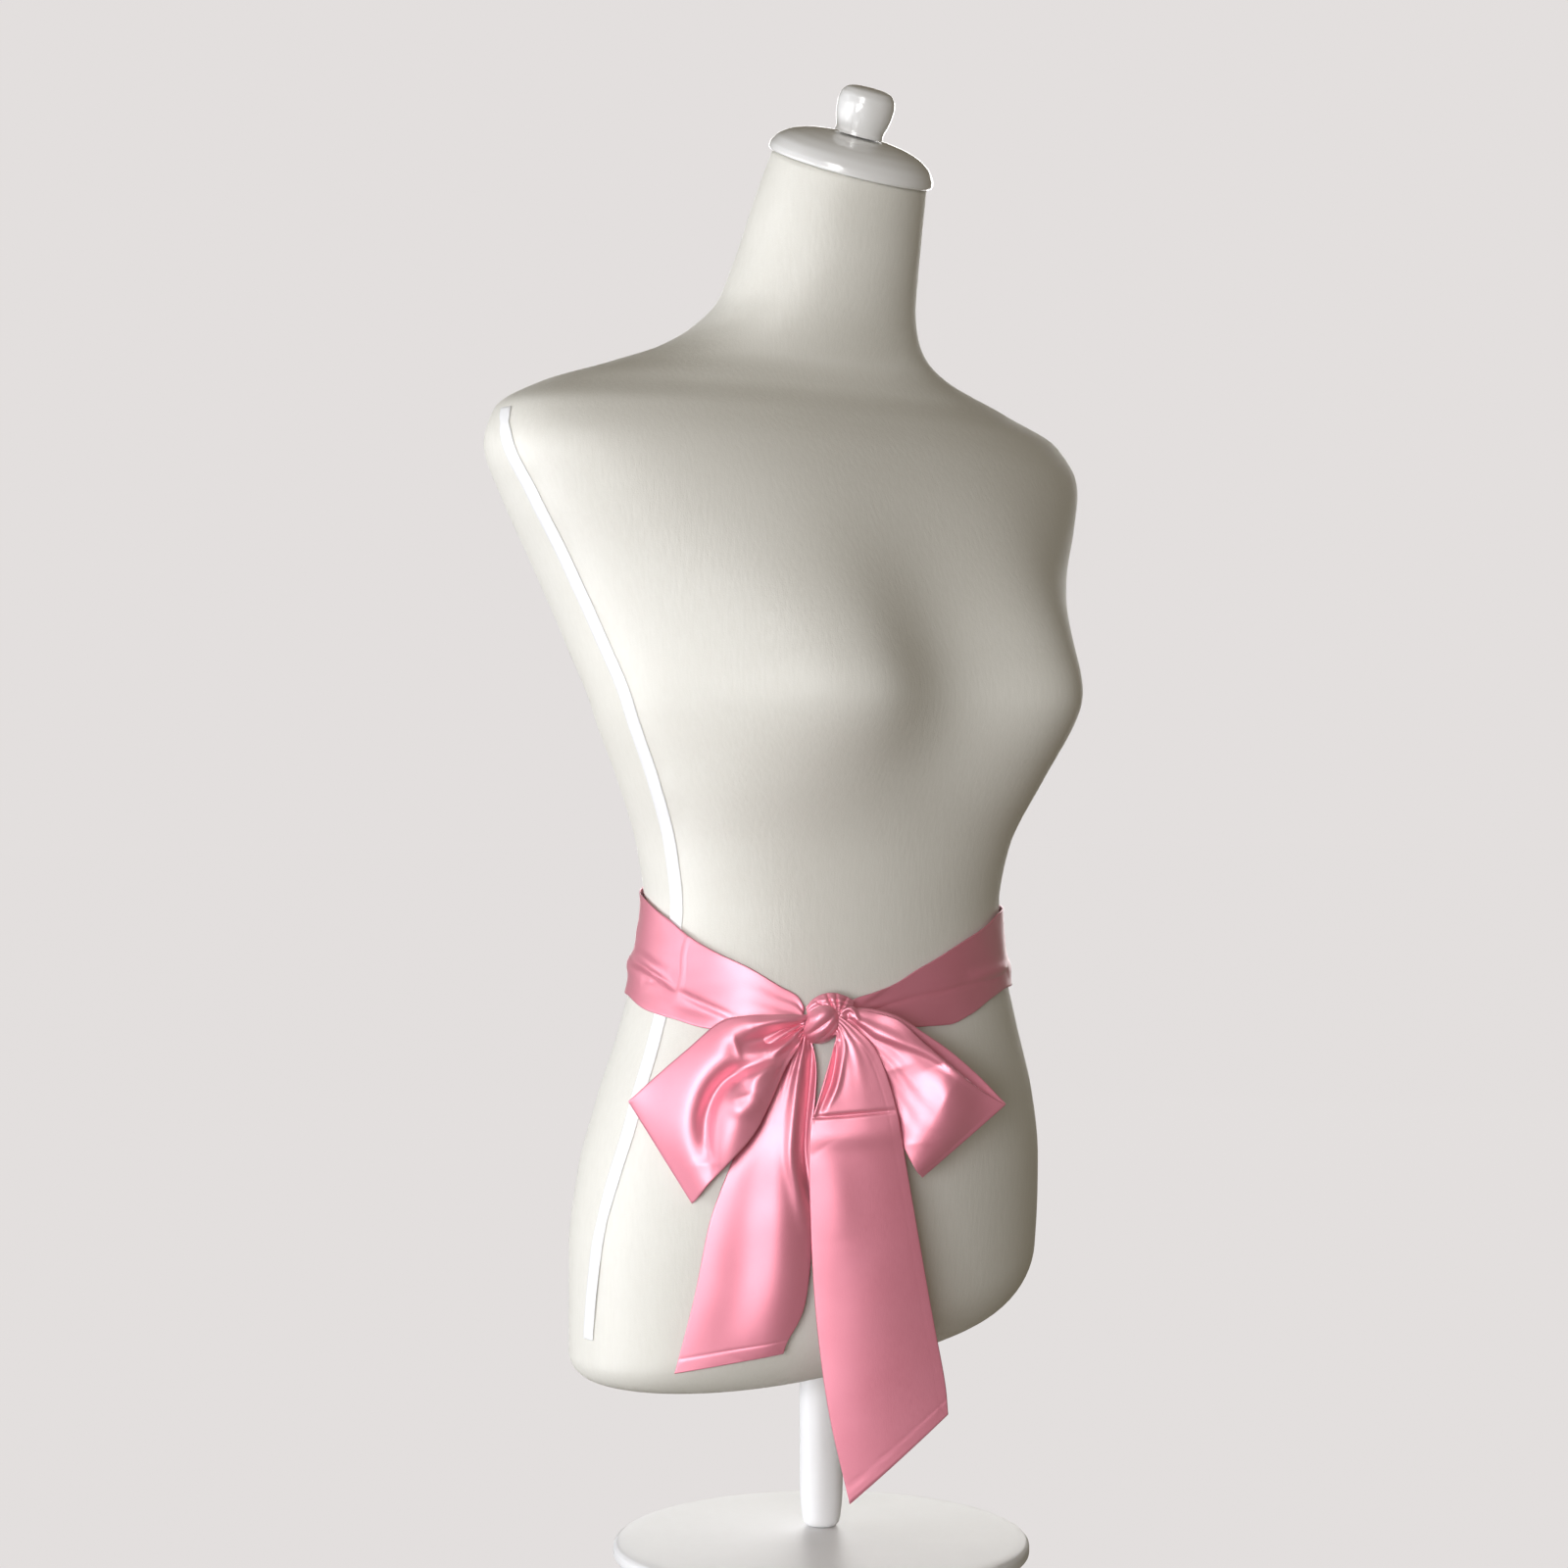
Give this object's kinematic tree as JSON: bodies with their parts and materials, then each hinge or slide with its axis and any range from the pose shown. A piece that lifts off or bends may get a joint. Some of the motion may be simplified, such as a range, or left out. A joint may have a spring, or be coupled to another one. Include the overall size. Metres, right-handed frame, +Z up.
{
  "type": "satin sash on a dress form",
  "caption": "Satin sash worn round the waist of a smooth limbless dress form and tied in a bow with hanging ends, on a round stand.",
  "frame": {"origin": "centre of the underside of the round stand, on the surface it stands on", "axes": "+Z up along the form, the form faces -Y, +X towards the form's left side"},
  "size_m": [0.4082, 0.2646, 0.8445],
  "materials": {
    "satin": "glossy satin weave",
    "cover": "fine-grained ivory leatherette",
    "gloss": "glossy white",
    "tape": "bright white seam tape",
    "stand": "off-white semi-gloss paint"
  },
  "bodies": {
    "root": {"form_body": "cover", "side_tape_right": "tape", "side_tape_left": "tape", "neck_cap": "gloss", "cap_finial": "gloss", "stand_post": "stand", "stand_base": "stand", "sash_band": "satin", "sash_knot": "satin", "sash_knot_upper": "satin", "sash_loop_right": "satin", "sash_loop_left": "satin", "sash_tail_short": "satin", "sash_tail_long": "satin"}
  },
  "joints": []
}
